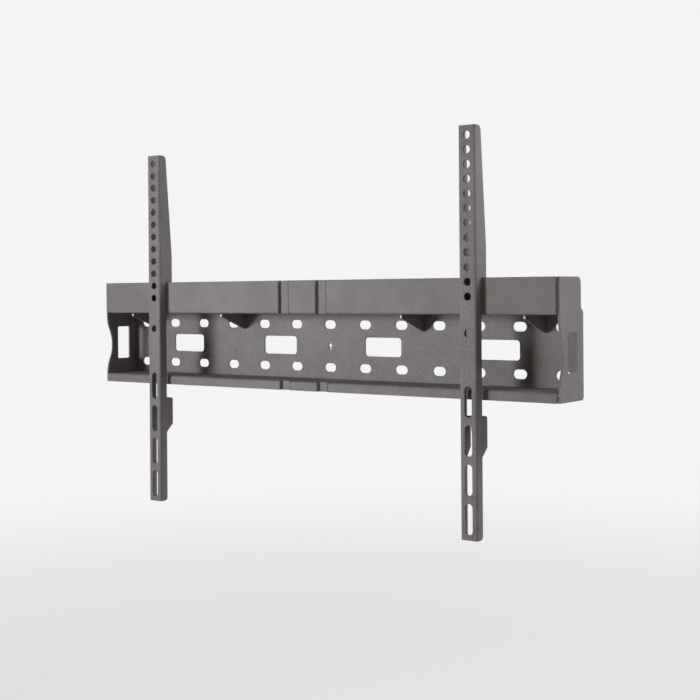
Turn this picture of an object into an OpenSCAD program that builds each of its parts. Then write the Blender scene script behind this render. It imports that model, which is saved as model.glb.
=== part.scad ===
// Low wall mount for a flat screen: a folded wall plate with a shelf bay behind
// the screen, closed by two side plates, and two upright brackets that hook over
// its rail and are held down by a lock screw each.
// X runs along the wall, Y points into the wall, which is at Y = 0, and Z is up,
// with Z = 0 halfway between the two rows of wall slots.

/* [Wall plate] */
// Thickness of the steel sheet
sheet_t = 2; // [1.5:0.1:2.6]
// Inside radius of the folds
bend_r = 1; // [0.5:0.5:3]
// Length of the hook rail and of the lower lip
rail_len = 638; // [600:1:760]
// Gap between the ends of rail and lip and the side plates
end_gap = 1; // [0.5:0.5:2]
// Clear height between the two shelves
bay_h = 77; // [74:1:120]
// Depth from the wall to the front of the lower lip
box_d = 53.5; // [46:0.5:80]
// Height of the hook rail, measured from the underside of the upper shelf
rail_h = 38; // [32:0.5:60]
// Drop of the lower lip, measured from the top of the lower shelf
lip_h = 10.5; // [7:0.5:14]

/* [Wall slots and windows] */
// Slots in each of the two rows
slot_count = 13; // [9:2:13]
// Distance between neighbouring slots
slot_pitch = 50; // [40:1:52]
// Distance between the two rows
slot_rows = 50; // [44:1:56]
// Length of a slot
slot_len = 16.5; // [12:0.5:20]
// Width of a slot
slot_w = 10; // [6:0.5:12]
// Width of a cable window
window_w = 50; // [30:1:60]
// Height of a cable window
window_h = 21.5; // [14:0.5:28]
// Corner radius of a cable window
window_r = 4; // [2:0.5:6]
// Middle of the inner windows, from the middle of the plate
window_in_x = 75; // [60:1:90]
// Middle of the outer windows, from the middle of the plate
window_out_x = 225; // [190:1:230]
// Height of the arrow that marks the top
arrow_h = 9; // [7:0.5:12]

/* [Stiffening] */
// Middle of a pressed flute, from the middle of the plate
flute_x = 27; // [20:0.5:34]
// Width of a flute
flute_w = 13.4; // [10:0.1:18]
// Depth of a flute
flute_d = 4; // [3.5:0.5:6]
// Corner radius in a flute
flute_r = 1.5; // [0.5:0.5:1.5]
// Middle of the inner gussets, from the middle of the plate
gusset_in_x = 130; // [120:1:134]
// Middle of the outer gussets, from the middle of the plate
gusset_out_x = 280; // [272:1:284]
// Height of a gusset at the wall plate
gusset_h = 21; // [16:0.5:30]
// Height of the blunt nose of a gusset
gusset_nose = 4; // [3:0.5:8]
// Distance of that nose behind the front of the lip
gusset_setback = 6.5; // [5:0.5:20]
// Radius of the lower tip of a gusset
gusset_tip_r = 3; // [1:0.5:5]

/* [Side plates] */
// Depth of the wave in the front edge
wave_d = 11.3; // [4:0.1:12]
// Half the height of the wave
wave_half = 37; // [25:1:40]
// Height of the middle of the wave
wave_z = -2; // [-4:0.5:2]
// Width of the side window, front to back
side_window_d = 20.5; // [12:0.5:24]
// Height of the side window
side_window_h = 41; // [20:1:56]
// Corner radius of the side window
side_window_r = 2; // [1:0.5:4]
// Distance of the side window from the wall
side_window_y = 14.5; // [10:0.5:18]
// Setback of the upper rear corner from the wall
side_step = 5; // [2:0.5:8]
// Radius of the upper rear corner
side_top_r = 6.5; // [2:0.5:10]
// Radius of the lower rear corner
side_low_r = 4; // [2:0.5:8]

/* [Brackets] */
// Width of a bracket
bracket_w = 20; // [18:0.5:26]
// Middle of the left bracket, from the middle of the plate
bracket_left_x = 222.5; // [180:0.1:260]
// Middle of the right bracket, from the middle of the plate
bracket_right_x = 225.4; // [180:0.1:260]
// Whole height of a bracket
bracket_len = 424; // [422:1:500]
// How much of it stands above the hook seat
bracket_up = 155.5; // [150:0.5:160]
// Outside radius of the folds of a bracket
bracket_r = 2.5; // [2.2:0.1:4]
// Depth of the flanges where they meet the rail
flange_d = 11; // [9:0.5:18]
// Depth of the flanges at the top end
flange_top_d = 12; // [9:0.5:16]
// Thickness of the hook behind the rail
prong_d = 7.5; // [5:0.5:12]
// Space left between the hook's tip and the upper shelf
prong_lift = 16; // [4:0.5:18]
// Height over the seat at which the flanges start to taper
taper_start = 32.5; // [20:0.5:60]
// Diameter of the round screen holes
hole_d = 8.3; // [5:0.1:10]
// Number of round holes in the upper row
hole_count = 12; // [6:1:12]
// Distance between the round holes
hole_pitch = 15; // [12:0.5:16]
// Distance of the first hole from the top end
hole_first = 10; // [8:0.5:16]
// Distance of the single hole from the top end
hole_single = 212.5; // [202:0.5:222]
// Width of the screen slots
long_slot_w = 8.5; // [5:0.1:10]
// Length of the screen slots
long_slot_len = 32; // [20:0.5:34]
// Number of screen slots
long_slot_count = 4; // [2:1:4]
// Distance between the screen slots
long_slot_pitch = 40; // [36:0.5:42]
// Distance of the first screen slot's middle from the top end
long_slot_first = 282.5; // [270:0.5:284]

/* [Lock screws] */
// Thread diameter
screw_d = 4; // [3:0.5:5]
// Diameter of the head
head_d = 12; // [9:0.5:12]
// Height of the head
head_h = 4; // [3:0.5:6]
// Thread left between head and lug when the screw is locked
screw_spare = 10; // [9:0.5:14]
// Length of the tip that stands up behind the lip when locked
screw_reach = 4; // [2:0.5:5]
// Distance of the lug below the lip
lug_drop = 17; // [12:0.5:24]
// Depth of the left tab, which stands free beside the lug
tab_free_d = 18.3; // [14:0.1:20]
// Height of both tabs
tab_h = 32; // [24:0.5:40]
// Height over which the tabs slope back to the flange
tab_slope = 9.5; // [4:0.5:16]
// Steel left behind the screw hole
lug_edge = 1.8; // [1.5:0.1:4]

/* [Fits] */
// Running gap between the brackets and the rail
hook_gap = 0.2; // [0.1:0.05:0.5]
// Play of the hook behind the rail
hook_play = 0.6; // [0.3:0.1:1.5]
// Gap between the screw and the lip
screw_gap = 0.3; // [0.2:0.1:1]
// Gap around the screw in its hole
thread_gap = 0.15; // [0.1:0.05:0.3]

/* [Hidden] */

$fn = 48;
// Extra length that a cutting shape stands out of what it cuts
over = 1;
coat = [0.44, 0.42, 0.41];
zinc = [0.74, 0.75, 0.77];

bend_out = bend_r + sheet_t;
shelf_len = rail_len + 2 * end_gap;
rail_front = -(box_d + sheet_t);
bay_top = bay_h / 2;
bay_bottom = -bay_h / 2;
rail_top = bay_top + rail_h;
lip_bottom = bay_bottom - lip_h;

gusset_xs = [-gusset_out_x, -gusset_in_x, gusset_in_x, gusset_out_x];
// Room left between a gusset and the inside of the fold
fold_room = 0.5;
gusset_relief = bend_r + fold_room;

hook_slot = sheet_t + hook_gap + hook_play;
hook_d = flange_d + hook_slot + prong_d;
prong_len = rail_h - sheet_t - prong_lift;
bracket_front = rail_front - hook_gap - flange_d;
seat_z = rail_top + hook_gap;
bracket_down = bracket_len - bracket_up;

screw_y = -box_d + sheet_t + screw_gap + screw_d / 2;
tab_d = screw_y + screw_d / 2 + lug_edge - bracket_front;
lug_z = lip_bottom - lug_drop;
// The lug starts this far behind the flanges' edge and ends this far from the
// left flange
lug_setback = 1;
lug_gap = 0.4;
tip_z = lip_bottom + screw_reach;
head_top = lug_z - sheet_t - screw_spare;

// A rectangle with rounded corners, centred
module rounded_rect(w, h, r) {
    square([w - 2 * r, h], center = true);
    square([w, h - 2 * r], center = true);
    for (x = [-1, 1], y = [-1, 1])
        translate([x * (w / 2 - r), y * (h / 2 - r)])
            circle(r);
}

// A slot with round ends along X, centred
module obround(len, w) {
    square([len - w, w], center = true);
    for (x = [-1, 1])
        translate([x * (len - w) / 2, 0])
            circle(d = w);
}

// What a corner at the origin loses when it is rounded; sx and sy point into it
module corner_loss(r, sx, sy) {
    difference() {
        translate([sx > 0 ? -over : -r, sy > 0 ? -over : -r])
            square(r + over);
        translate([sx * r, sy * r])
            circle(r);
    }
}

// A quarter of a fold about its centre; sx and sy point to the outer corner
module fold(sx, sy) {
    intersection() {
        difference() {
            circle(bend_out);
            circle(bend_r);
        }
        translate([sx > 0 ? 0 : -bend_out, sy > 0 ? 0 : -bend_out])
            square(bend_out);
    }
}

// Stands a side view, drawn as Y and Z, up and gives it a thickness along X
module along_x(len) {
    rotate([90, 0, 90])
        linear_extrude(len, center = true)
            children();
}

// Drills or cuts a front view, drawn as X and Z, through a wall that starts at
// y and is t thick
module through_wall(y, t) {
    translate([0, y + t + over, 0])
        rotate([90, 0, 0])
            linear_extrude(t + 2 * over)
                children();
}

// Side view of the back of the plate and its two shelves
module bay_section() {
    translate([-sheet_t, bay_bottom + bend_r])
        square([sheet_t, bay_h - 2 * bend_r]);
    translate([-bend_out, bay_top - bend_r])
        fold(1, 1);
    translate([-bend_out, bay_bottom + bend_r])
        fold(1, -1);
    translate([rail_front + bend_out, bay_top])
        square([-rail_front - 2 * bend_out, sheet_t]);
    translate([-box_d + bend_out, bay_bottom - sheet_t])
        square([box_d - 2 * bend_out, sheet_t]);
}

// Side view of the hook rail, which stands up from the upper shelf
module rail_section() {
    translate([rail_front + bend_out, bay_top + bend_out])
        fold(-1, -1);
    translate([rail_front, bay_top + bend_out])
        square([sheet_t, rail_h - bend_out]);
}

// Side view of the lip, which hangs down from the lower shelf
module lip_section() {
    translate([-box_d + bend_out, bay_bottom - bend_out])
        fold(-1, 1);
    translate([-box_d, lip_bottom])
        square([sheet_t, lip_h - bend_out]);
}

// Plan view of a flute's sheet, round in its rear corners
module flute_sheet() {
    outer_r = flute_r + sheet_t;
    outer_w = flute_w + 2 * sheet_t;
    translate([-outer_w / 2, 0])
        square([outer_w, flute_d + sheet_t - outer_r]);
    translate([-outer_w / 2 + outer_r, 0])
        square([outer_w - 2 * outer_r, flute_d + sheet_t]);
    for (s = [-1, 1])
        translate([s * (outer_w / 2 - outer_r), flute_d + sheet_t - outer_r])
            circle(outer_r);
}

// Plan view of the hollow of a flute, open to the front at Y = 0, with round
// inner corners and a rounded rim
module flute_room() {
    translate([-flute_w / 2, -over])
        square([flute_w, flute_d - flute_r + over]);
    translate([-flute_w / 2 + flute_r, -over])
        square([flute_w - 2 * flute_r, flute_d + over]);
    for (s = [-1, 1]) {
        translate([s * (flute_w / 2 - flute_r), flute_d - flute_r])
            circle(flute_r);
        translate([s * flute_w / 2, 0])
            corner_loss(sheet_t, s, 1);
    }
}

// Puts a plan view at each flute of a wall whose front is at y, from z0 to z1
module at_flutes(y, z0, z1) {
    for (s = [-1, 1])
        translate([s * flute_x, y, z0])
            linear_extrude(z1 - z0)
                children();
}

// An arrow that points up
module arrow() {
    head_w = 0.75 * arrow_h;
    stem_w = 0.33 * arrow_h;
    polygon([[-head_w / 2, 0], [0, arrow_h / 2], [head_w / 2, 0]]);
    translate([-stem_w / 2, -arrow_h / 2])
        square([stem_w, arrow_h / 2]);
}

// Front view of every opening in the back of the plate
module back_openings() {
    for (k = [0 : slot_count - 1], s = [-1, 1])
        translate([(k - (slot_count - 1) / 2) * slot_pitch, s * slot_rows / 2])
            obround(slot_len, slot_w);
    for (x = [window_in_x, window_out_x], s = [-1, 1])
        translate([s * x, 0])
            rounded_rect(window_w, window_h, window_r);
    arrow();
}

module wall_plate() {
    color(coat)
        difference() {
            union() {
                along_x(shelf_len)
                    bay_section();
                along_x(rail_len) {
                    rail_section();
                    lip_section();
                }
                at_flutes(rail_front, bay_top, rail_top)
                    flute_sheet();
                at_flutes(-box_d, lip_bottom, bay_bottom)
                    flute_sheet();
            }
            through_wall(-sheet_t, sheet_t)
                back_openings();
            at_flutes(rail_front, bay_top - over, rail_top + over)
                flute_room();
            at_flutes(-box_d, lip_bottom - over, bay_bottom + over)
                flute_room();
        }
}

// What the wave takes from the front edge, as Y and Z about the wave's middle:
// a hollow arc in the middle that runs into a round shoulder above and below.
// The shoulders start a little in front of the edge, so that they cross it.
module wave_loss() {
    lead = 0.2;
    d = wave_d + lead;
    arc_r = (wave_half * wave_half + d * d) / (4 * d);
    translate([-lead, 0]) {
        intersection() {
            translate([d - arc_r, 0])
                circle(arc_r, $fn = 144);
            translate([-over, -wave_half / 2])
                square([d + 2 * over, wave_half]);
        }
        for (s = [-1, 1])
            difference() {
                translate([-over, s > 0 ? wave_half / 2 : -wave_half])
                    square([d / 2 + over, wave_half / 2]);
                translate([arc_r, s * wave_half])
                    circle(arc_r, $fn = 144);
            }
    }
}

// Side view of a side plate
module side_outline() {
    step_z = bay_top + sheet_t;
    difference() {
        translate([rail_front, lip_bottom])
            square([-rail_front, rail_top - lip_bottom]);
        translate([rail_front, wave_z])
            wave_loss();
        polygon([[over, step_z - over], [0, step_z], [-side_step, step_z + side_step],
            [-side_step, rail_top + over], [over, rail_top + over]]);
        translate([-side_step, rail_top])
            corner_loss(side_top_r, -1, -1);
        translate([0, lip_bottom])
            corner_loss(side_low_r, -1, 1);
        translate([-side_window_y - side_window_d / 2, 0])
            rounded_rect(side_window_d, side_window_h, side_window_r);
    }
}

// A side plate; side is -1 at the left end and 1 at the right end
module side_plate(side) {
    color(coat)
        translate([side * (shelf_len + sheet_t) / 2, 0, 0])
            along_x(sheet_t)
                side_outline();
}

// A gusset under the upper shelf: a blunt nose in front, a sloping lower edge
// and a round tip against the back of the plate
module gusset(x) {
    nose_y = -box_d + gusset_setback;
    nose_z = bay_top - gusset_nose;
    back_y = -sheet_t;
    low_z = bay_top - gusset_h;
    slope_len = norm([back_y - nose_y, low_z - nose_z]);
    up_y = (nose_z - low_z) / slope_len;
    up_z = (back_y - nose_y) / slope_len;
    tip_y = back_y - gusset_tip_r;
    tip_zc = low_z + gusset_tip_r * (1 + up_y) / up_z;
    color(coat)
        translate([x, 0, 0])
            along_x(sheet_t) {
                polygon([[back_y, bay_top - gusset_relief], [back_y - gusset_relief, bay_top],
                    [nose_y, bay_top], [nose_y, nose_z],
                    [tip_y - gusset_tip_r * up_y, tip_zc - gusset_tip_r * up_z],
                    [tip_y, tip_zc], [back_y, tip_zc]]);
                translate([tip_y, tip_zc])
                    circle(gusset_tip_r);
            }
}

// Plan view of a channel w wide and d deep, open at the back, with its front at
// Y = 0, corner radius r
module channel_solid(w, d, r) {
    translate([-w / 2, r])
        square([w, d - r]);
    translate([-w / 2 + r, 0])
        square([w - 2 * r, d]);
    for (s = [-1, 1])
        translate([s * (w / 2 - r), r])
            circle(r);
}

module channel_section(d) {
    difference() {
        channel_solid(bracket_w, d, bracket_r);
        translate([0, sheet_t])
            channel_solid(bracket_w - 2 * sheet_t, d, bracket_r - sheet_t);
    }
}

// Side view of a bracket, as depth from its front and height over its seat
module flange_outline() {
    top_r = 5;
    tip_r = 3;
    low_r = 4;
    difference() {
        polygon([[0, bracket_up], [flange_top_d, bracket_up], [flange_top_d, bracket_up - top_r],
            [hook_d, taper_start], [hook_d, -prong_len], [hook_d - prong_d, -prong_len],
            [hook_d - prong_d, 0], [flange_d, 0], [flange_d, -bracket_down], [0, -bracket_down]]);
        translate([flange_top_d, bracket_up])
            corner_loss(top_r, -1, -1);
        translate([hook_d, -prong_len])
            corner_loss(tip_r, -1, 1);
        translate([flange_d, -bracket_down])
            corner_loss(low_r, -1, 1);
    }
}

// Side view of a tab that reaches back to depth d, with a little of the flange
// it stands on
module tab_outline(d) {
    tab_top = lug_z - seat_z;
    root = flange_d / 2;
    tab_r = 1.5;
    difference() {
        polygon([[root, tab_top], [d, tab_top], [d, tab_top - tab_h],
            [flange_d, tab_top - tab_h - tab_slope], [root, tab_top - tab_h - tab_slope]]);
        translate([d, tab_top])
            corner_loss(tab_r, -1, -1);
    }
}

// Front view of the holes and slots for the screen's screws
module screen_holes() {
    for (k = [0 : hole_count - 1])
        translate([0, bracket_up - hole_first - k * hole_pitch])
            circle(d = hole_d);
    translate([0, bracket_up - hole_single])
        circle(d = hole_d);
    for (k = [0 : long_slot_count - 1])
        translate([0, bracket_up - long_slot_first - k * long_slot_pitch])
            rotate(90)
                obround(long_slot_len, long_slot_w);
}

// The lug folded in from the right tab, with the screw's hole
module lug() {
    inner_w = bracket_w - 2 * sheet_t;
    y0 = flange_d + lug_setback;
    hole_y = screw_y - bracket_front;
    difference() {
        translate([-inner_w / 2 + lug_gap, y0, -sheet_t])
            cube([inner_w + sheet_t / 2 - lug_gap, tab_d - y0, sheet_t]);
        translate([0, hole_y, -sheet_t - over])
            cylinder(h = sheet_t + 2 * over, d = screw_d + 2 * thread_gap);
    }
}

// A bracket with its middle at x
module bracket(x) {
    span = bracket_up + bracket_down;
    color(coat)
        translate([x, bracket_front, seat_z])
            difference() {
                union() {
                    intersection() {
                        translate([0, 0, -bracket_down])
                            linear_extrude(span)
                                channel_section(hook_d + over);
                        along_x(bracket_w)
                            flange_outline();
                    }
                    translate([(sheet_t - bracket_w) / 2, 0, 0])
                        along_x(sheet_t)
                            tab_outline(tab_free_d);
                    translate([(bracket_w - sheet_t) / 2, 0, 0])
                        along_x(sheet_t)
                            tab_outline(tab_d);
                    translate([0, 0, lug_z - seat_z])
                        lug();
                }
                through_wall(0, sheet_t)
                    screen_holes();
                // the rounded back of the fold that the lug hangs on
                translate([bracket_w / 2, flange_d + tab_d / 2, lug_z - seat_z])
                    rotate([90, 0, 0])
                        linear_extrude(tab_d, center = true)
                            corner_loss(bracket_r, -1, -1);
            }
}

// Side profile of the screw as radius and height, with its head's top at 0
module screw_profile() {
    r = screw_d / 2;
    len = tip_z - head_top;
    edge = 0.6;
    polygon([[0, -head_h], [head_d / 2 - edge, -head_h], [head_d / 2, -head_h + edge],
        [head_d / 2, -edge], [head_d / 2 - edge, 0], [r, 0], [r, len - edge], [r - edge, len],
        [0, len]]);
}

// A lock screw below the lug of the bracket at x: a thumb head with a knurled
// rim and a driver slot underneath
module lock_screw(x) {
    knurls = 24;
    knurl_r = 0.45;
    slot_t = 1.2;
    slot_depth = 1.5;
    color(zinc)
        translate([x, screw_y, head_top])
            difference() {
                rotate_extrude()
                    screw_profile();
                for (k = [0 : knurls - 1])
                    rotate(k * 360 / knurls)
                        translate([head_d / 2 + knurl_r / 3, 0, -head_h - over])
                            cylinder(h = head_h + 2 * over, r = knurl_r, $fn = 16);
                translate([-head_d, -slot_t / 2, -head_h - over])
                    cube([2 * head_d, slot_t, slot_depth + over]);
            }
}

wall_plate();
side_plate(-1);  // side_plate_left
side_plate(1);  // side_plate_right
gusset(gusset_xs[0]);  // gusset_1
gusset(gusset_xs[1]);  // gusset_2
gusset(gusset_xs[2]);  // gusset_3
gusset(gusset_xs[3]);  // gusset_4
bracket(-bracket_left_x);  // bracket_left
bracket(bracket_right_x);  // bracket_right
lock_screw(-bracket_left_x);  // lock_screw_left
lock_screw(bracket_right_x);  // lock_screw_right
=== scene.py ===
"""Looks of the low wall mount.

Powder-coated sheets, end plates with their weld seams, zinc-plated lock screws, and a pale
studio. Shapes are in millimetres until they go into a mesh, and colours are sRGB hex.
"""

import logging
import math
from dataclasses import dataclass, field
from enum import Enum
from typing import Any

import bpy
import numpy as np
from mathutils import Matrix, Vector


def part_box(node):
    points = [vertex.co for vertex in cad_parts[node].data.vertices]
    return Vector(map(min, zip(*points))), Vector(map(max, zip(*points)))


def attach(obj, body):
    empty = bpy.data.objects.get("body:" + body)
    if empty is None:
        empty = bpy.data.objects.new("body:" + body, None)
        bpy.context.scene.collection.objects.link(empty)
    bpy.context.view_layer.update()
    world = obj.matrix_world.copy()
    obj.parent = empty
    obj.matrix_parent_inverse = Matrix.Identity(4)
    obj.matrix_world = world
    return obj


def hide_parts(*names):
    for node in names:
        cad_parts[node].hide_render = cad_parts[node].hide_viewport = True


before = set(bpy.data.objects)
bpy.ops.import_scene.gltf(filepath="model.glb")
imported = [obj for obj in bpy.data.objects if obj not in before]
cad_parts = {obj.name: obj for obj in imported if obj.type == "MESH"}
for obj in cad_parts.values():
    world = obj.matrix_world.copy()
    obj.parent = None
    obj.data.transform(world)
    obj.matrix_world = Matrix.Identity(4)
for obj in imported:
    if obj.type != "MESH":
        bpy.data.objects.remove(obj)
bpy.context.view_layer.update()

MM = 0.001
SHARP_DEG = 32.0

log = logging.getLogger("wall_mount")


class Hand(Enum):
    """Which side of the mount a piece stands on, seen from the front."""

    LEFT = "left"
    RIGHT = "right"


class Turn(Enum):
    """Which way a thread runs round its screw."""

    RIGHT_HAND = 1
    LEFT_HAND = -1


class PaintedLight(Enum):
    """Which painted light a powder-coated sheet carries on top of its coat.

    PAINTED_NOSE_HIGHLIGHT is a painted highlight on a gusset's nose. PAINTED_SHADE_LEFT is
    painted shade: the faces and edges that lean to -X and not to the wall are painted dark, in
    the steel colour.
    """

    NONE = "even"
    PAINTED_NOSE_HIGHLIGHT = "painted_nose_highlight"
    PAINTED_SHADE_LEFT = "painted_shade_left"


def linear(hex_colour: str) -> tuple[float, float, float, float]:
    """Turns an sRGB hex colour into linear light.

    Each channel c in 0..1 becomes c / 12.92 up to 0.04045 and ((c + 0.055) / 1.055) ** 2.4
    above it.

    Args:
        hex_colour: six hex digits, such as "84807d".

    Returns:
        Red, green, blue and an alpha of 1.
    """
    channels = [int(hex_colour[i : i + 2], 16) / 255 for i in (0, 2, 4)]
    lin = [c / 12.92 if c <= 0.04045 else ((c + 0.055) / 1.055) ** 2.4 for c in channels]
    return (lin[0], lin[1], lin[2], 1.0)


Shaded = bpy.types.Material | bpy.types.World
Sockets = dict[str | int, Any]


def add_node(mat: Shaded, kind: str, links: Sockets | None = None,
             inputs: Sockets | None = None, **settings: Any) -> bpy.types.Node:
    """Adds one node with its settings and links.

    Args:
        mat: the material or world whose tree gets the node.
        kind: the node's type without the leading "ShaderNode".
        links: an output socket for each input socket, by the input's name or number.
        inputs: a value for each input socket, by its name or number.
        settings: properties of the node itself.

    Returns:
        The new node.
    """
    tree = mat.node_tree
    node = tree.nodes.new("ShaderNode" + kind)
    for name, value in settings.items():
        setattr(node, name, value)
    for socket, value in (inputs or {}).items():
        node.inputs[socket].default_value = value
    for socket, source in (links or {}).items():
        tree.links.new(source, node.inputs[socket])
    return node


def blank_material(name: str) -> bpy.types.Material:
    """Makes a material with an empty node tree.

    Args:
        name: the finish that it is named for.

    Returns:
        The empty material.
    """
    mat = bpy.data.materials.new(name)
    mat.use_nodes = True
    mat.node_tree.nodes.clear()
    return mat


def per_metre(size_mm: float) -> float:
    """The texture scale at which one cell of a pattern measures size_mm."""
    return 1.0 / (size_mm * MM)


@dataclass(frozen=True)
class PowderCoat:
    """Fine-textured polyester powder coat, sprayed dry on steel and baked.

    The eye gets a satin grey with a sandy grain, faint clouds where the coat is thicker, and
    softened edges that are painted slightly brighter, a painted highlight along every edge.

    The real grit is about 0.3 mm wide, too fine to show from where the camera stands, so
    grain_mm draws it as coarse as it needs to show. The orange peel of ripple_mm is real.
    """

    name: str = "powder_coated_steel"
    base: str = "827e7f"
    cloud: str = "797576"
    # painted highlight: the lighter colour painted along every rounded edge
    edge: str = "8f8b8c"
    # painted shade: the dark colour painted on faces and edges that lean to -X
    steel: str = "2f2c2a"
    # painted highlight: the near-white that the gussets' noses are painted, standing in for a
    # glint
    highlight_colour: str = "f4f3f2"
    highlight_mm: float = 1.4
    grain_mm: float = 1.5
    ripple_mm: float = 4.2
    cloud_mm: float = 38.0
    edge_mm: float = 0.7
    bump_mm: float = 0.25
    roughness: float = 0.8
    roughness_span: float = 0.1
    gloss: float = 0.1

    def build(self, wear: PaintedLight = PaintedLight.NONE,
              highlight_at_mm: tuple[float, float] = (0.0, 0.0)) -> bpy.types.Material:
        """Builds the coat.

        The colour runs from base to cloud with a broad noise and a fine one, and to edge, a
        painted highlight, where the normal rounded over edge_mm leaves the true normal. The bump
        is a grain on top of a wider orange peel.

        Args:
            wear: which painted highlight or painted shade the coat carries, if any.
            highlight_at_mm: for the nose highlight, Y and Z of the middle of the painted
                highlight.

        Returns:
            The material.
        """
        mat = blank_material(self.name if wear is PaintedLight.NONE else f"{self.name}_{wear.value}")
        place = add_node(mat, "TexCoord").outputs["Object"]
        grain = add_node(mat, "TexNoise", {"Vector": place},
                         {"Scale": per_metre(self.grain_mm), "Detail": 3.0, "Roughness": 0.62})
        ripple = add_node(mat, "TexNoise", {"Vector": place},
                          {"Scale": per_metre(self.ripple_mm), "Detail": 1.0})
        clouds = add_node(mat, "TexNoise", {"Vector": place},
                          {"Scale": per_metre(self.cloud_mm), "Detail": 4.0, "Roughness": 0.55})
        cloud_mix = add_node(mat, "MapRange", {"Value": clouds.outputs["Fac"]},
                             {"From Min": 0.35, "From Max": 0.65})
        coat = add_node(mat, "Mix", {0: cloud_mix.outputs["Result"]}, data_type="RGBA")
        coat.inputs[6].default_value = linear(self.base)
        coat.inputs[7].default_value = linear(self.cloud)
        speck = add_node(mat, "MapRange", {"Value": grain.outputs["Fac"]},
                         {"From Min": 0.3, "From Max": 0.7, "To Min": 0.8, "To Max": 1.2})
        sanded = add_node(mat, "VectorMath", {0: coat.outputs[2]}, operation="SCALE")
        mat.node_tree.links.new(speck.outputs["Result"], sanded.inputs["Scale"])
        rounded = add_node(mat, "Bevel", inputs={"Radius": self.edge_mm * MM}, samples=6)
        true_normal = add_node(mat, "NewGeometry").outputs["Normal"]
        turn = add_node(mat, "VectorMath", {0: rounded.outputs["Normal"], 1: true_normal},
                        operation="DOT_PRODUCT")
        # painted highlight: how much of the lighter edge colour shows where the edge rounds over
        edge_highlight_share = add_node(mat, "MapRange", {"Value": turn.outputs["Value"]},
                            {"From Min": 0.99, "From Max": 0.8, "To Max": 0.6})
        colour = add_node(mat, "Mix", {0: edge_highlight_share.outputs["Result"]}, data_type="RGBA")
        mat.node_tree.links.new(sanded.outputs["Vector"], colour.inputs[6])
        colour.inputs[7].default_value = linear(self.edge)
        shade = colour.outputs[2]
        # painted light: a highlight painted on the gussets' noses, or shade painted on what
        # leans left
        if wear is not PaintedLight.NONE:
            mark = self.painted_light_share(mat, wear, place, true_normal, highlight_at_mm)
            painted_mix = add_node(mat, "Mix", {0: mark, 6: shade}, data_type="RGBA")
            painted_mix.inputs[7].default_value = linear(
                self.highlight_colour if wear is PaintedLight.PAINTED_NOSE_HIGHLIGHT else self.steel)
            shade = painted_mix.outputs[2]
        rough = add_node(mat, "MapRange", {"Value": grain.outputs["Fac"]},
                         {"To Min": self.roughness - self.roughness_span,
                          "To Max": self.roughness + self.roughness_span})
        peel = add_node(mat, "Bump",
                        {"Height": ripple.outputs["Fac"], "Normal": rounded.outputs["Normal"]},
                        {"Strength": 0.12, "Distance": self.bump_mm * MM})
        sand = add_node(mat, "Bump",
                        {"Height": grain.outputs["Fac"], "Normal": peel.outputs["Normal"]},
                        {"Strength": 0.45, "Distance": self.bump_mm * MM})
        shader = add_node(mat, "BsdfPrincipled",
                          {"Base Color": shade, "Roughness": rough.outputs["Result"],
                           "Normal": sand.outputs["Normal"]},
                          {"IOR": 1.5, "Specular IOR Level": self.gloss})
        add_node(mat, "OutputMaterial", {"Surface": shader.outputs["BSDF"]})
        return mat

    def painted_light_share(self, mat: bpy.types.Material, wear: PaintedLight, place: bpy.types.NodeSocket,
                   normal: bpy.types.NodeSocket,
                   highlight_at_mm: tuple[float, float]) -> bpy.types.NodeSocket:
        """Tells where a sheet carries its painted highlight or painted shade.

        The painted highlight on a nose is what lies no farther than highlight_mm from
        highlight_at_mm, seen along X. The painted shade lies where the normal leans to -X and
        not to the wall.

        Args:
            mat: the coat.
            wear: which painted light it is.
            place: the object coordinates.
            normal: the true normal.
            highlight_at_mm: Y and Z of the middle of the painted highlight.

        Returns:
            A share from 0 to 1.
        """
        if wear is PaintedLight.PAINTED_NOSE_HIGHLIGHT:
            beside = add_node(mat, "VectorMath", {0: place}, {1: (0.0, 1.0, 1.0)},
                              operation="MULTIPLY")
            away = add_node(mat, "VectorMath", {0: beside.outputs["Vector"]},
                            {1: (0.0, highlight_at_mm[0] * MM, highlight_at_mm[1] * MM)},
                            operation="DISTANCE")
            near = add_node(mat, "MapRange", {"Value": away.outputs["Value"]},
                            {"From Min": self.highlight_mm * MM, "From Max": 0.7 * self.highlight_mm * MM})
            return near.outputs["Result"]
        # painted shade: faces that lean to -X and not to the wall get the dark colour
        lean = add_node(mat, "SeparateXYZ", {0: normal}).outputs
        leans_left = add_node(mat, "MapRange", {"Value": lean["X"]},
                        {"From Min": -0.05, "From Max": -0.3})
        front = add_node(mat, "MapRange", {"Value": lean["Y"]},
                         {"From Min": 0.1, "From Max": 0.02})
        return add_node(mat, "Math", {0: leans_left.outputs["Result"], 1: front.outputs["Result"]},
                        operation="MULTIPLY").outputs[0]


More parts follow.
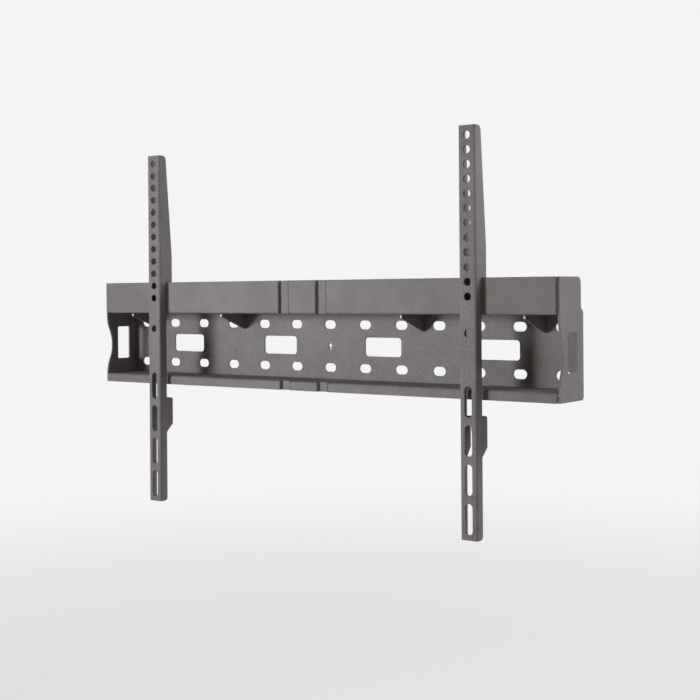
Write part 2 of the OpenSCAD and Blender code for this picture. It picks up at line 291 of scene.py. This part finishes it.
@dataclass(frozen=True)
class ZincPlate:
    """Bright zinc plate with a clear passivation on a turned steel screw.

    The eye gets a cool silver with a faint straw and blue tint in patches, and turning rings
    round the screw's axis. Real tool marks lie about 0.1 mm apart: ring_mm draws them as
    coarse as they need to show.
    """

    name: str = "zinc_plated_steel"
    base: str = "c9cbcd"
    tint: str = "bdb9ad"
    ring_mm: float = 0.5
    waves_per_cell: float = 20.0
    patch_mm: float = 3.0
    roughness: float = 0.3
    shinier: float = 0.08
    duller: float = 0.12

    def build(self, axis_mm: tuple[float, float]) -> bpy.types.Material:
        """Builds the plating for a screw whose axis stands at axis_mm.

        The rings are a sine of the distance from the axis: a wave texture packs
        waves_per_cell radians into one cell. The tint follows a soft noise.

        Args:
            axis_mm: X and Y of the screw's axis.

        Returns:
            The material.
        """
        mat = blank_material(self.name)
        place = add_node(mat, "TexCoord").outputs["Object"]
        centred = add_node(mat, "Mapping", {"Vector": place},
                           {"Location": (-axis_mm[0] * MM, -axis_mm[1] * MM, 0.0)})
        rings = add_node(mat, "TexWave", {"Vector": centred.outputs["Vector"]},
                         {"Scale": per_metre(self.ring_mm) / self.waves_per_cell,
                          "Distortion": 0.6}, wave_type="RINGS", rings_direction="Z")
        patches = add_node(mat, "TexNoise", {"Vector": place},
                           {"Scale": per_metre(self.patch_mm), "Detail": 2.0})
        patch_mix = add_node(mat, "MapRange", {"Value": patches.outputs["Fac"]},
                             {"From Min": 0.4, "From Max": 0.65})
        colour = add_node(mat, "Mix", {0: patch_mix.outputs["Result"]}, data_type="RGBA")
        colour.inputs[6].default_value = linear(self.base)
        colour.inputs[7].default_value = linear(self.tint)
        rough = add_node(mat, "MapRange", {"Value": patches.outputs["Fac"]},
                         {"To Min": self.roughness - self.shinier,
                          "To Max": self.roughness + self.duller})
        turned = add_node(mat, "Bump", {"Height": rings.outputs["Fac"]},
                          {"Strength": 0.2, "Distance": 0.05 * MM})
        shader = add_node(mat, "BsdfPrincipled",
                          {"Base Color": colour.outputs[2], "Roughness": rough.outputs["Result"],
                           "Normal": turned.outputs["Normal"]}, {"Metallic": 1.0})
        add_node(mat, "OutputMaterial", {"Surface": shader.outputs["BSDF"]})
        return mat


def seen_share(owner: Shaded) -> bpy.types.NodeSocket:
    """Tells camera, glossy and transmission rays from those that only carry light.

    Args:
        owner: the material or world whose tree gets the nodes.

    Returns:
        A socket that is 1 for the rays that show a background and 0 for the others.
    """
    path = add_node(owner, "LightPath").outputs
    shown = add_node(owner, "Math", {0: path["Is Camera Ray"], 1: path["Is Glossy Ray"]},
                     operation="MAXIMUM")
    most = add_node(owner, "Math", {0: shown.outputs[0], 1: path["Is Transmission Ray"]},
                    operation="MAXIMUM")
    return most.outputs[0]


@dataclass(frozen=True)
class PaperSweep:
    """Matt white background paper, which shows as it is to the camera and fades out.

    The eye gets a plain pale ground that carries the object's soft shadow and has no horizon.
    """

    name: str = "paper_sweep"
    colour: str = "f2f2f2"
    lit_share: float = 0.3
    fade_from_m: float = 0.4
    fade_to_m: float = 2.4
    spare: float = 1.1

    def build(self) -> bpy.types.Material:
        """Builds the paper: lit near the object, clear beyond fade_to_m.

        Rays that light the object meet plain diffuse paper. Camera, glossy and transmission
        rays meet lit_share of it and, for the rest, the paper's own colour.

        Returns:
            The material.
        """
        mat = blank_material(self.name)
        place = add_node(mat, "TexCoord").outputs["Object"]
        reach = add_node(mat, "VectorMath", {0: place}, operation="LENGTH")
        fade = add_node(mat, "MapRange", {"Value": reach.outputs["Value"]},
                        {"From Min": self.fade_from_m, "From Max": self.fade_to_m},
                        interpolation_type="SMOOTHSTEP")
        paper = add_node(mat, "BsdfDiffuse", inputs={"Color": linear(self.colour)})
        plain = add_node(mat, "Emission", inputs={"Color": linear(self.colour)})
        seen = add_node(mat, "Math", {0: seen_share(mat)}, {1: 1 - self.lit_share},
                        operation="MULTIPLY")
        shown = add_node(mat, "MixShader", {0: seen.outputs[0], 1: paper.outputs["BSDF"],
                                            2: plain.outputs["Emission"]})
        clear = add_node(mat, "BsdfTransparent")
        blend = add_node(mat, "MixShader", {0: fade.outputs["Result"],
                                            1: shown.outputs["Shader"],
                                            2: clear.outputs["BSDF"]})
        add_node(mat, "OutputMaterial", {"Surface": blend.outputs["Shader"]})
        return mat


def surface_object(name: str, points: np.ndarray, faces: np.ndarray,
                   smooth: bool = True) -> bpy.types.Object:
    """Makes an object at the origin from points in metres and quads.

    Args:
        name: the piece's name.
        points: an (n, 3) array in the shared frame, in metres.
        faces: an (m, 4) array of point numbers, turning anticlockwise seen from outside. A
            quad whose last two numbers are equal is a triangle.
        smooth: whether faces are shaded smooth.

    Returns:
        The linked object.
    """
    flat = faces[:, 2] == faces[:, 3]
    counts = np.where(flat, 3, 4).astype(np.int32)
    keep = np.ones(faces.shape, bool)
    keep[flat, 3] = False
    corners = faces[keep].astype(np.int32)
    starts = np.concatenate([[0], np.cumsum(counts)[:-1]]).astype(np.int32)
    mesh = bpy.data.meshes.new(name)
    mesh.vertices.add(len(points))
    mesh.vertices.foreach_set("co", points.astype(np.float32).ravel())
    mesh.loops.add(len(corners))
    mesh.loops.foreach_set("vertex_index", corners)
    mesh.polygons.add(len(counts))
    mesh.polygons.foreach_set("loop_start", starts)
    mesh.polygons.foreach_set("loop_total", counts)
    mesh.polygons.foreach_set("use_smooth", np.full(len(counts), smooth))
    mesh.update(calc_edges=True)
    mesh.validate()
    obj = bpy.data.objects.new(name, mesh)
    bpy.context.scene.collection.objects.link(obj)
    return obj


def grid_faces(rows: int, columns: int) -> np.ndarray:
    """Quads of a grid that is closed round its columns and open along its rows.

    Point (i, j) has the number i * columns + j. Each quad joins (i, j), (i, j + 1),
    (i + 1, j + 1) and (i + 1, j), with j counted round.

    Args:
        rows: the number of rings.
        columns: the number of points on each ring.

    Returns:
        An (m, 4) array of point numbers.
    """
    i, j = np.meshgrid(np.arange(rows - 1), np.arange(columns), indexing="ij")
    after = (j + 1) % columns
    quads = [i * columns + j, i * columns + after, (i + 1) * columns + after,
             (i + 1) * columns + j]
    return np.stack(quads, axis=-1).reshape(-1, 4)


@dataclass
class CoatedSheets:
    """The folded wall plate, its gussets and the brackets, which keep their CAD shape."""

    finish: PowderCoat = field(default_factory=PowderCoat)
    plate: tuple[str, ...] = ("wall_plate",)
    brackets: tuple[str, ...] = ("bracket_left", "bracket_right")
    gussets: tuple[str, ...] = ("gusset_1", "gusset_2", "gusset_3", "gusset_4")
    nose_drop: float = 2.9

    def dress(self) -> None:
        """Gives every sheet its powder coat: a painted highlight on the gussets' noses, and on
        the wall plate painted shade on what leans left."""
        low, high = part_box(self.gussets[0])
        nose = (low.y / MM, high.z / MM - self.nose_drop)
        # painted shade on the wall plate, a painted highlight on the gussets' noses
        coats = {self.plate: self.finish.build(PaintedLight.PAINTED_SHADE_LEFT),
                 self.brackets: self.finish.build(),
                 self.gussets: self.finish.build(PaintedLight.PAINTED_NOSE_HIGHLIGHT, nose)}
        for names, coat in coats.items():
            for name in names:
                dress_node(name, coat)
                log.info("%s: %s", name, coat.name)


def dress_node(name: str, mat: bpy.types.Material) -> None:
    """Puts a material in every slot of a CAD node.

    Args:
        name: the node.
        mat: its finish.
    """
    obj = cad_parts[name]
    if not obj.material_slots:
        obj.data.materials.append(mat)
    for place in obj.material_slots:
        place.material = mat


@dataclass
class EndPlate:
    """A side plate with its real front edge, which stands in for its CAD solid.

    The eye gets a plate that ends a little behind the rail, and the dark gap beside the rail.
    """

    hand: Hand
    setback: float = 3.2
    wave_d: float = 8.2
    wave_half: float = 37.0
    wave_z: float = -2.0
    step: float = 5.0
    step_z: float = 40.5
    top_r: float = 6.5
    low_r: float = 4.0
    window_d: float = 20.5
    window_h: float = 41.0
    window_r: float = 2.0
    window_y: float = -24.75
    wave_points: int = 97
    arc_points: int = 9
    window_points: int = 32
    finish: PowderCoat = field(default_factory=PowderCoat)

    @property
    def node(self) -> str:
        """The CAD node of this plate."""
        return f"side_plate_{self.hand.value}"

    def outline(self, front: float, low: float, high: float) -> np.ndarray:
        """Side view of the plate: up its front edge and down its rear edge.

        With R = (wave_half squared + wave_d squared) / (4 wave_d), the front edge lies
        wave_d - R + the root of (R squared - h squared) behind front at a height h from
        wave_z, up to half of wave_half, and from there to wave_half it lies
        R - the root of (R squared - (wave_half - h) squared) behind it.

        Args:
            front: Y of the straight front edge, in mm.
            low: Z of the lower edge, in mm.
            high: Z of the upper edge, in mm.

        Returns:
            An (n, 2) array of Y and Z.
        """
        r = (self.wave_half ** 2 + self.wave_d ** 2) / (4 * self.wave_d)
        h = np.linspace(-self.wave_half, self.wave_half, self.wave_points)
        off = np.abs(h)
        hollow = self.wave_d - r + np.sqrt(r ** 2 - off ** 2)
        shoulder = r - np.sqrt(r ** 2 - (self.wave_half - off) ** 2)
        wave = np.where(off < self.wave_half / 2, hollow, shoulder)
        q = np.linspace(0.0, math.pi / 2, self.arc_points)
        top = np.column_stack([self.top_r * (np.sin(q) - 1) - self.step,
                               high + self.top_r * (np.cos(q) - 1)])
        foot = np.column_stack([self.low_r * (np.cos(q) - 1),
                                low + self.low_r * (1 - np.sin(q))])
        return np.concatenate([[[front, low]], np.column_stack([front + wave, self.wave_z + h]),
                               [[front, high]], top,
                               [[-self.step, self.step_z + self.step], [0.0, self.step_z]],
                               foot])

    def window(self) -> np.ndarray:
        """Side view of the window: a rectangle with round corners.

        Each corner's arc is window_r about a point that lies window_r inside both sides.

        Returns:
            An (n, 2) array of Y and Z.
        """
        q = (np.arange(self.window_points) + 0.5) * 2 * math.pi / self.window_points
        y = (self.window_d / 2 - self.window_r) * np.sign(np.cos(q))
        z = (self.window_h / 2 - self.window_r) * np.sign(np.sin(q))
        return np.column_stack([self.window_y + y + self.window_r * np.cos(q),
                                z + self.window_r * np.sin(q)])

    def crossings(self, loop: np.ndarray, angles: np.ndarray) -> np.ndarray:
        """Where rays from the window's middle cross a closed outline.

        A ray with the direction u crosses the side from p to q at the distance
        cross(p, q - p) / cross(u, q - p).

        Args:
            loop: the outline's corners, as Y and Z.
            angles: the rays' angles, rising.

        Returns:
            One point for each ray.
        """
        middle = np.array([self.window_y, 0.0])
        arm = loop - middle
        turn = np.arctan2(arm[:, 1], arm[:, 0])
        order = np.argsort(turn)
        arm, turn = arm[order], turn[order]
        first = np.searchsorted(turn, angles + 1e-9) - 1
        p = arm[first]
        side = arm[(first + 1) % len(arm)] - p
        u = np.column_stack([np.cos(angles), np.sin(angles)])
        far = (p[:, 0] * side[:, 1] - p[:, 1] * side[:, 0]) / (
            u[:, 0] * side[:, 1] - u[:, 1] * side[:, 0])
        return middle + u * far[:, None]

    def build(self) -> bpy.types.Object:
        """Builds the plate as one closed ring round its window.

        Four loops with the same angles, the outline on both faces and the window on both
        faces, are joined into a ring that ends where it starts.

        Returns:
            The plate, in place.
        """
        low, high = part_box(self.node)
        outer = self.outline(low.y / MM + self.setback, low.z / MM, high.z / MM)
        inner = self.window()
        both = np.concatenate([outer, inner]) - [self.window_y, 0.0]
        angles = np.unique(np.arctan2(both[:, 1], both[:, 0]).round(7))
        loops = [self.crossings(outer, angles), self.crossings(inner, angles)]
        n = len(angles)
        rings = [np.column_stack([np.full(n, x / MM), loops[k]])
                 for x, k in ((low.x, 0), (high.x, 0), (high.x, 1), (low.x, 1))]
        faces = grid_faces(5, n) % (4 * n)
        plate = surface_object(f"end_plate_{self.hand.value}", np.concatenate(rings) * MM, faces)
        plate.data.set_sharp_from_angle(angle=math.radians(SHARP_DEG))
        return plate

    def dress(self, plate: bpy.types.Object) -> None:
        """Coats the plate and puts it in its CAD node's place.

        Args:
            plate: the built plate.
        """
        coat = self.finish.build()
        plate.data.materials.append(coat)
        dress_node(self.node, coat)
        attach(plate, "plate")
        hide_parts(self.node)
        log.info("%s: %d faces, %s", plate.name, len(plate.data.polygons), coat.name)


@dataclass
class WeldSeams:
    """The seams that hold an end plate to the back of the rail and of the lip.

    The eye gets a gap beside the rail's end that is closed and dark.
    """

    hand: Hand
    r: float = 1.1
    ripple_mm: float = 1.6
    ripple: float = 0.12
    row_mm: float = 0.2
    close_mm: float = 0.6
    columns: int = 16
    off_plate: float = 0.4
    rail: tuple[float, float, float] = (2.0, 40.7, 76.4)
    lip: tuple[float, float, float] = (4.0, -48.8, -41.0)
    finish: PowderCoat = field(default_factory=PowderCoat)

    def bead(self, name: str, x: float, back: float, low: float,
             high: float) -> bpy.types.Object:
        """Builds one upright bead that lies against a sheet's back.

        At the height z its radius is r less the ripple times the square of the sine of half
        the ripples' angle. Over the last close_mm at both ends it is also multiplied by the
        square root of the share of close_mm that is left, which makes them round.

        Args:
            name: the bead's name.
            x: X of its axis, in mm.
            back: Y of the sheet's back, in mm.
            low: Z of its lower end, in mm.
            high: Z of its upper end, in mm.

        Returns:
            The bead, in place.
        """
        z = np.arange(low, high, self.row_mm)
        end = np.clip(np.minimum(z - low, z[-1] - z) / self.close_mm, 0.0, 1.0)
        radius = (self.r - self.ripple * np.sin(math.pi * z / self.ripple_mm) ** 2
                  ) * np.sqrt(np.maximum(end, 1e-4))
        t = 2 * math.pi * np.arange(self.columns) / self.columns
        shape = (len(z), self.columns)
        rings = np.stack([x + radius[:, None] * np.cos(t),
                          back + self.r + radius[:, None] * np.sin(t),
                          np.broadcast_to(z[:, None], shape)], axis=-1).reshape(-1, 3)
        n = len(rings)
        ends = np.array([[x, back + self.r, low], [x, back + self.r, z[-1]]])
        j = np.arange(self.columns)
        after = (j + 1) % self.columns
        last = n - self.columns
        foot = np.stack([np.full(self.columns, n), after, j, j], axis=-1)
        head = np.stack([np.full(self.columns, n + 1), last + j, last + after, last + after],
                        axis=-1)
        return surface_object(name, np.concatenate([rings, ends]) * MM,
                              np.concatenate([grid_faces(len(z), self.columns), foot, head]))

    def build(self) -> list[bpy.types.Object]:
        """Builds the seam behind the rail and the one behind the lip.

        Returns:
            Both seams, in place.
        """
        plate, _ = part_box("wall_plate")
        low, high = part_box(f"side_plate_{self.hand.value}")
        x = low.x / MM - self.off_plate if self.hand is Hand.RIGHT else (
            high.x / MM + self.off_plate)
        seams = []
        for part, (behind, foot, top) in (("rail", self.rail), ("lip", self.lip)):
            seams.append(self.bead(f"weld_{part}_{self.hand.value}", x,
                                   plate.y / MM + behind, foot, top))
        return seams

    def dress(self, seams: list[bpy.types.Object]) -> None:
        """Coats the seams with the plate they belong to.

        Args:
            seams: the built seams.
        """
        coat = self.finish.build()
        for seam in seams:
            seam.data.materials.append(coat)
            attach(seam, "plate")
            log.info("%s: %d faces, %s", seam.name, len(seam.data.polygons), coat.name)


@dataclass
class LockScrew:
    """A thumb screw with a rolled thread, which stands in for its unthreaded CAD solid."""

    hand: Hand
    thread_d: float = 4.0
    pitch: float = 0.7
    thread_depth: float = 0.42
    thread_flat: float = 0.125
    head_d: float = 12.0
    head_h: float = 4.0
    edge: float = 0.6
    knurls: int = 24
    knurl_depth: float = 0.3
    slot_w: float = 1.2
    slot_d: float = 1.5
    turn: Turn = Turn.RIGHT_HAND
    neck: float = 0.1
    neck_h: float = 0.3
    rows_per_pitch: int = 10
    rim_rows: int = 6
    columns: int = 96
    finish: ZincPlate = field(default_factory=ZincPlate)

    @property
    def node(self) -> str:
        """The CAD node of this screw."""
        return f"lock_screw_{self.hand.value}"

    def profile(self, length: float) -> tuple[np.ndarray, np.ndarray, np.ndarray]:
        """Radius, height and kind of surface from the tip down to the head's lower face.

        The tip ends in a chamfer, the shank runs down with rows_per_pitch rows for each
        pitch to a neck, and the head is a disc with both edges broken.

        Args:
            length: from the tip to the head's top, in mm.

        Returns:
            Radius, height over the head's top, and a number that is 1 on the thread, 2 on the
            knurled rim and 0 elsewhere.
        """
        r = self.thread_d / 2
        rim = self.head_d / 2
        shank = np.arange(length - self.edge, self.neck_h, -self.pitch / self.rows_per_pitch)
        head_z = np.linspace(-self.edge, -self.head_h + self.edge, self.rim_rows)
        radius = np.concatenate([[0.0, r - self.edge], np.full(len(shank), r), [r - self.neck],
                                 [rim - self.edge], np.full(len(head_z), rim),
                                 [rim - self.edge, 0.0]])
        height = np.concatenate([[length, length], shank, [0.0], [0.0], head_z,
                                 [-self.head_h, -self.head_h]])
        kind = np.concatenate([[0, 0], np.ones(len(shank)), [0], [0],
                               np.full(len(head_z), 2), [0, 0]])
        return radius, height, kind

    def build(self) -> bpy.types.Object:
        """Builds the screw as one closed surface round its axis.

        A point at turn t (0 to 1) and height z stands at the profile's radius. On the thread
        the radius drops by thread_depth times the distance of (z / pitch - t) from the
        nearest whole number, doubled, with the crest and the root held flat for thread_flat
        of a pitch. On the rim it drops by knurl_depth times the eighth power of the cosine
        of half the knurls' angle. The driver slot is then cut across the lower face.

        Returns:
            The screw, in place.
        """
        low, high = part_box(self.node)
        axis = ((low.x + high.x) / 2, (low.y + high.y) / 2)
        head_top = low.z / MM + self.head_h
        length = high.z / MM - head_top
        radius, height, kind = self.profile(length)
        t = np.arange(self.columns) / self.columns
        phase = height[:, None] / self.pitch - self.turn.value * t[None, :]
        saw = 2 * np.abs(phase - np.round(phase))
        flank = (saw - self.thread_flat) / (1 - 2 * self.thread_flat)
        cut = np.clip(flank, 0.0, 1.0) * self.thread_depth
        knurl = self.knurl_depth * np.cos(math.pi * self.knurls * t) ** 8
        r = radius[:, None] - np.where(kind == 1, 1, 0)[:, None] * cut
        r = r - np.where(kind == 2, 1, 0)[:, None] * knurl[None, :]
        angle = 2 * math.pi * t
        ring = np.stack([axis[0] + r * np.cos(angle) * MM, axis[1] + r * np.sin(angle) * MM,
                         np.broadcast_to((height[:, None] + head_top) * MM, r.shape)], axis=-1)
        inner = ring[1:-1].reshape(-1, 3)
        tip = np.array([[axis[0], axis[1], (length + head_top) * MM]])
        foot = np.array([[axis[0], axis[1], (head_top - self.head_h) * MM]])
        points = np.concatenate([inner, tip, foot])
        rows = len(radius) - 2
        sides = grid_faces(rows, self.columns)[:, ::-1]
        j = np.arange(self.columns)
        after = (j + 1) % self.columns
        last = (rows - 1) * self.columns
        top = np.full(self.columns, len(inner))
        bottom = np.full(self.columns, len(inner) + 1)
        cap_top = np.stack([top, j, after, after], axis=-1)
        cap_foot = np.stack([bottom, last + after, last + j, last + j], axis=-1)
        screw = surface_object(f"thumb_screw_{self.hand.value}", points,
                               np.concatenate([sides, cap_top, cap_foot]))
        self.cut_slot(screw, axis, head_top)
        screw.data.set_sharp_from_angle(angle=math.radians(SHARP_DEG))
        return screw

    def cut_slot(self, screw: bpy.types.Object, axis: tuple[float, float],
                 head_top: float) -> None:
        """Cuts the driver slot across the head's lower face.

        Args:
            screw: the turned screw.
            axis: X and Y of its axis, in metres.
            head_top: height of the head's top, in mm.
        """
        half = np.array([self.head_d, self.slot_w / 2, self.slot_d]) * MM
        centre = np.array([axis[0], axis[1], (head_top - self.head_h) * MM])
        signs = np.array([[x, y, z] for z in (-1, 1) for y in (-1, 1) for x in (-1, 1)])
        faces = np.array([[0, 2, 3, 1], [4, 5, 7, 6], [0, 1, 5, 4], [2, 6, 7, 3],
                          [0, 4, 6, 2], [1, 3, 7, 5]])
        blade = surface_object("slot_cutter", centre + signs * half, faces, smooth=False)
        cut = screw.modifiers.new("driver_slot", "BOOLEAN")
        cut.operation = "DIFFERENCE"
        cut.solver = "EXACT"
        cut.object = blade
        bpy.context.view_layer.update()
        shape = bpy.data.meshes.new_from_object(
            screw.evaluated_get(bpy.context.evaluated_depsgraph_get()))
        screw.modifiers.clear()
        screw.data = shape
        shape.name = screw.name
        bpy.data.objects.remove(blade)

    def dress(self, screw: bpy.types.Object) -> None:
        """Plates the screw and puts it in its CAD node's place.

        Args:
            screw: the built screw.
        """
        low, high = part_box(self.node)
        axis = ((low.x + high.x) / 2 / MM, (low.y + high.y) / 2 / MM)
        plate = self.finish.build(axis)
        screw.data.materials.clear()
        screw.data.materials.append(plate)
        dress_node(self.node, plate)
        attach(screw, f"{self.hand.value}_screw")
        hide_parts(self.node)
        log.info("%s: %d faces, %s", screw.name, len(screw.data.polygons), plate.name)


@dataclass
class Studio:
    """The photograph's camera, its soft lights, and a plain pale ground."""

    eye_mm: tuple[float, float, float] = (892.7, -1174.4, 61.2)
    yaw_deg: float = 36.37
    roll_deg: float = -0.42
    sensor_mm: float = 36.0
    focal_px: float = 1263.3
    horizon_px: float = 293.4
    frame_px: float = 700.0
    floor_z_m: float = -0.5
    key_at_m: tuple[float, float, float] = (-1.05, -2.05, 0.2)
    key_aim_m: tuple[float, float, float] = (-0.01, 0.0, 0.09)
    key_size_m: float = 0.8
    key_spread_deg: float = 30.0
    key_watt: float = 2.15
    rim_at_m: tuple[float, float, float] = (0.75, 0.2, 0.4)
    rim_aim_m: tuple[float, float, float] = (0.0, 0.0, 0.0)
    rim_size_m: float = 0.5
    rim_watt: float = 3.0
    ambient: float = 0.15
    wall_light: float = 1.2
    wall_tint: str = "fdfdff"
    ambient_tint: str = "fff2dc"
    backdrop: str = "f4f4f4"

    def camera(self) -> bpy.types.Object:
        """Sets the level camera at the photograph's viewing point.

        Returns:
            The camera.
        """
        data = bpy.data.cameras.new("viewing_point")
        data.sensor_width = self.sensor_mm
        data.lens = self.focal_px * data.sensor_width / self.frame_px
        data.shift_y = (self.horizon_px - self.frame_px / 2) / self.frame_px
        data.clip_start, data.clip_end = 0.05, 50.0
        cam = bpy.data.objects.new("viewing_point", data)
        bpy.context.scene.collection.objects.link(cam)
        turn = (Matrix.Rotation(math.radians(self.yaw_deg), 4, "Z")
                @ Matrix.Rotation(math.radians(90), 4, "X")
                @ Matrix.Rotation(math.radians(self.roll_deg), 4, "Z"))
        cam.matrix_world = Matrix.Translation(Vector(self.eye_mm) * MM) @ turn
        bpy.context.scene.camera = cam
        return cam

    def soft_light(self, name: str, at: tuple[float, float, float],
                   aim: tuple[float, float, float], size: float, watt: float,
                   spread: float = 180.0) -> bpy.types.Object:
        """Hangs a soft round light.

        Args:
            name: the lamp's name.
            at: its place, in metres.
            aim: the point that it faces, in metres.
            size: its diameter, in metres.
            watt: its power.
            spread: the angle that its grid lets out, in degrees.

        Returns:
            The lamp.
        """
        data = bpy.data.lights.new(name, "AREA")
        data.shape = "DISK"
        data.size = size
        data.energy = watt
        data.spread = math.radians(spread)
        lamp = bpy.data.objects.new(name, data)
        bpy.context.scene.collection.objects.link(lamp)
        lamp.location = at
        lamp.rotation_mode = "QUATERNION"
        lamp.rotation_quaternion = (Vector(aim) - Vector(at)).to_track_quat("-Z", "Y")
        return lamp

    def world(self) -> None:
        """Fills the room and shows the camera and the metal a plain pale ground.

        Rays that light a surface meet the faintly warm ambient level, and on top of it,
        towards +Y, the light that a pale wall behind the mount throws back: wall_light times
        the Y of the ray's direction. Camera, glossy and transmission rays meet the
        backdrop's colour at strength 1.
        """
        world = bpy.data.worlds.new("pale_room")
        world.use_nodes = True
        world.node_tree.nodes.clear()
        # In a world this is the ray's own direction, whatever the camera does.
        way = add_node(world, "TexCoord").outputs["Generated"]
        toward = add_node(world, "SeparateXYZ", {0: way}).outputs["Y"]
        level = add_node(world, "MapRange", {"Value": toward}, {"To Max": self.wall_light})
        wall = add_node(world, "Background", {"Strength": level.outputs["Result"]},
                        {"Color": linear(self.wall_tint)})
        room = add_node(world, "Background", inputs={"Color": linear(self.ambient_tint),
                                                     "Strength": self.ambient})
        fill = add_node(world, "AddShader", {0: wall.outputs[0], 1: room.outputs[0]})
        shown = add_node(world, "Background",
                         inputs={"Color": linear(self.backdrop), "Strength": 1.0})
        mix = add_node(world, "MixShader", {0: seen_share(world), 1: fill.outputs[0],
                                            2: shown.outputs[0]})
        add_node(world, "OutputWorld", {0: mix.outputs[0]})
        bpy.context.scene.world = world

    def ground(self) -> bpy.types.Object:
        """Lays the pale ground as a flat square around the middle of the mount.

        Returns:
            The ground.
        """
        paper = PaperSweep()
        reach = paper.fade_to_m * paper.spare
        corners = np.array([[-1, -1], [1, -1], [1, 1], [-1, 1]]) * reach
        points = np.column_stack([corners, np.zeros(4)])
        ground = surface_object("pale_floor", points, np.array([[0, 1, 2, 3]]), smooth=False)
        ground.location.z = self.floor_z_m
        ground.data.materials.append(paper.build())
        return ground

    def build(self) -> None:
        """Sets camera, ground, world and lamps, and the plain view transform."""
        self.camera()
        self.ground()
        self.world()
        self.soft_light("key_light", self.key_at_m, self.key_aim_m, self.key_size_m,
                        self.key_watt, self.key_spread_deg)
        self.soft_light("rim_light", self.rim_at_m, self.rim_aim_m, self.rim_size_m,
                        self.rim_watt)
        bpy.context.scene.view_settings.view_transform = "Standard"
        log.info("studio: camera, ground, world and two soft lights")


def main() -> None:
    """Builds the studio, dresses the sheets, and builds end plates, seams and lock screws."""
    logging.basicConfig(level=logging.INFO, format="%(message)s")
    Studio().build()
    CoatedSheets().dress()
    for hand in Hand:
        end = EndPlate(hand)
        end.dress(end.build())
        seams = WeldSeams(hand)
        seams.dress(seams.build())
        screw = LockScrew(hand)
        screw.dress(screw.build())


if __name__ == "__main__":
    main()
